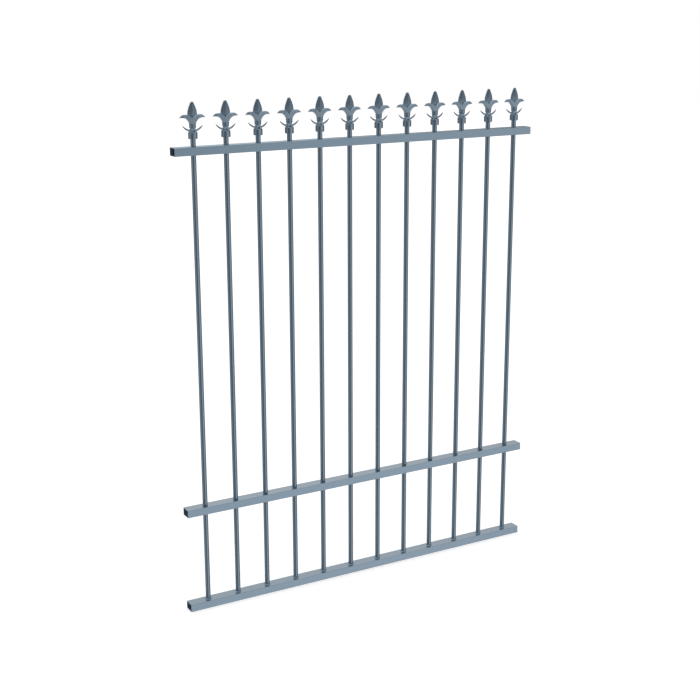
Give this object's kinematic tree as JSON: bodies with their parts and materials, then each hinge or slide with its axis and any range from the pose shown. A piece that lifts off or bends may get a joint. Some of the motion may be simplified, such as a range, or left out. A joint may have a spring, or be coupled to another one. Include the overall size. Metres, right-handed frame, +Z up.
{
  "type": "pool fence panel",
  "caption": "Flat tubular metal fence panel of round upright pickets in three hollow rails, with a leafed spear finial over each picket, made to hang between two posts around a pool.",
  "frame": {"origin": "middle of the bottom rail's underside", "axes": "+Z up along the pickets, +X along the rails to the right, -Y towards the front"},
  "size_m": [1.3, 0.038, 1.6224],
  "materials": {
    "powder_coat": "satin blue-grey metallic powder coat over aluminium",
    "screw_steel": "plain stainless steel"
  },
  "bodies": {
    "root": {"bottom_rail": "powder_coat", "middle_rail": "powder_coat", "top_rail": "powder_coat", "picket_01": "powder_coat", "picket_02": "powder_coat", "picket_03": "powder_coat", "picket_04": "powder_coat", "picket_05": "powder_coat", "picket_06": "powder_coat", "picket_07": "powder_coat", "picket_08": "powder_coat", "picket_09": "powder_coat", "picket_10": "powder_coat", "picket_11": "powder_coat", "picket_12": "powder_coat", "finial_01": "powder_coat", "finial_02": "powder_coat", "finial_03": "powder_coat", "finial_04": "powder_coat", "finial_05": "powder_coat", "finial_06": "powder_coat", "finial_07": "powder_coat", "finial_08": "powder_coat", "finial_09": "powder_coat", "finial_10": "powder_coat", "finial_11": "powder_coat", "finial_12": "powder_coat", "bottom_rail_weld_beads": "powder_coat", "middle_rail_weld_beads": "powder_coat", "top_rail_weld_beads": "powder_coat", "finial_set_screws": "screw_steel"}
  },
  "joints": []
}
